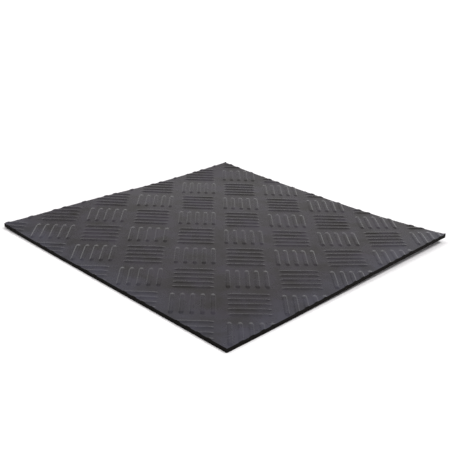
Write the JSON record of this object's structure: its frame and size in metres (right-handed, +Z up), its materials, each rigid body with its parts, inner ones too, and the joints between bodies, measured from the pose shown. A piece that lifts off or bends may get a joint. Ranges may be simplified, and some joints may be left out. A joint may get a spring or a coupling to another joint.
{
  "type": "checker plate rubber matting sheet",
  "caption": "Square sheet of black rubber flooring with a raised checker plate tread of short rounded bars, smooth underneath and knife-cut on all sides.",
  "frame": {"origin": "on the floor under the middle of the sheet", "axes": "+Z up out of the tread face; +X along the cut edge that runs from the front corner to the right corner, +Y along the one that runs from the front corner to the left corner; the bars run at 45 degrees to both"},
  "size_m": [0.25, 0.25, 0.0079],
  "materials": {
    "rubber": "moulded black rubber, satin, finely textured"
  },
  "bodies": {
    "root": {"tread_sheet": "rubber"}
  },
  "joints": []
}
